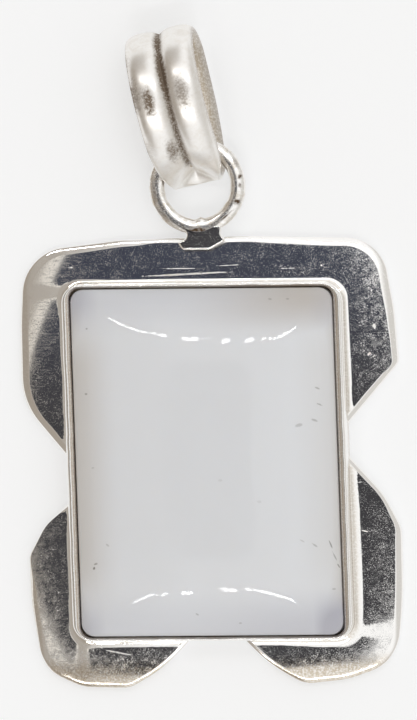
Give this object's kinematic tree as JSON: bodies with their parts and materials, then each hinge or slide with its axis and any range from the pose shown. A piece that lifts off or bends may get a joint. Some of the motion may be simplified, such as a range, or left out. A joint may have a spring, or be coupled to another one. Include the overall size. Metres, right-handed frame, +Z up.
{
  "type": "stone pendant",
  "caption": "Metal pendant with a rectangular milky cabochon in a bezel on a domed, lobed back plate, a loop ring on its front and a double-rib bail.",
  "frame": {"origin": "the point of the flat back under the stone's centre, at the level that the pendant lies on", "axes": "+Z up through the front, +Y towards the bail, +X to the right seen from the front"},
  "size_m": [0.0257, 0.0448, 0.0063],
  "materials": {
    "setting_silver": "polished silver with fine scratches, tarnished in the recesses",
    "bail_silver": "satin silver with a dark groove",
    "milky_stone": "polished, milky and slightly translucent, with small pits"
  },
  "bodies": {
    "root": {"setting": "setting_silver", "stone": "milky_stone", "bail": "bail_silver"}
  },
  "joints": []
}
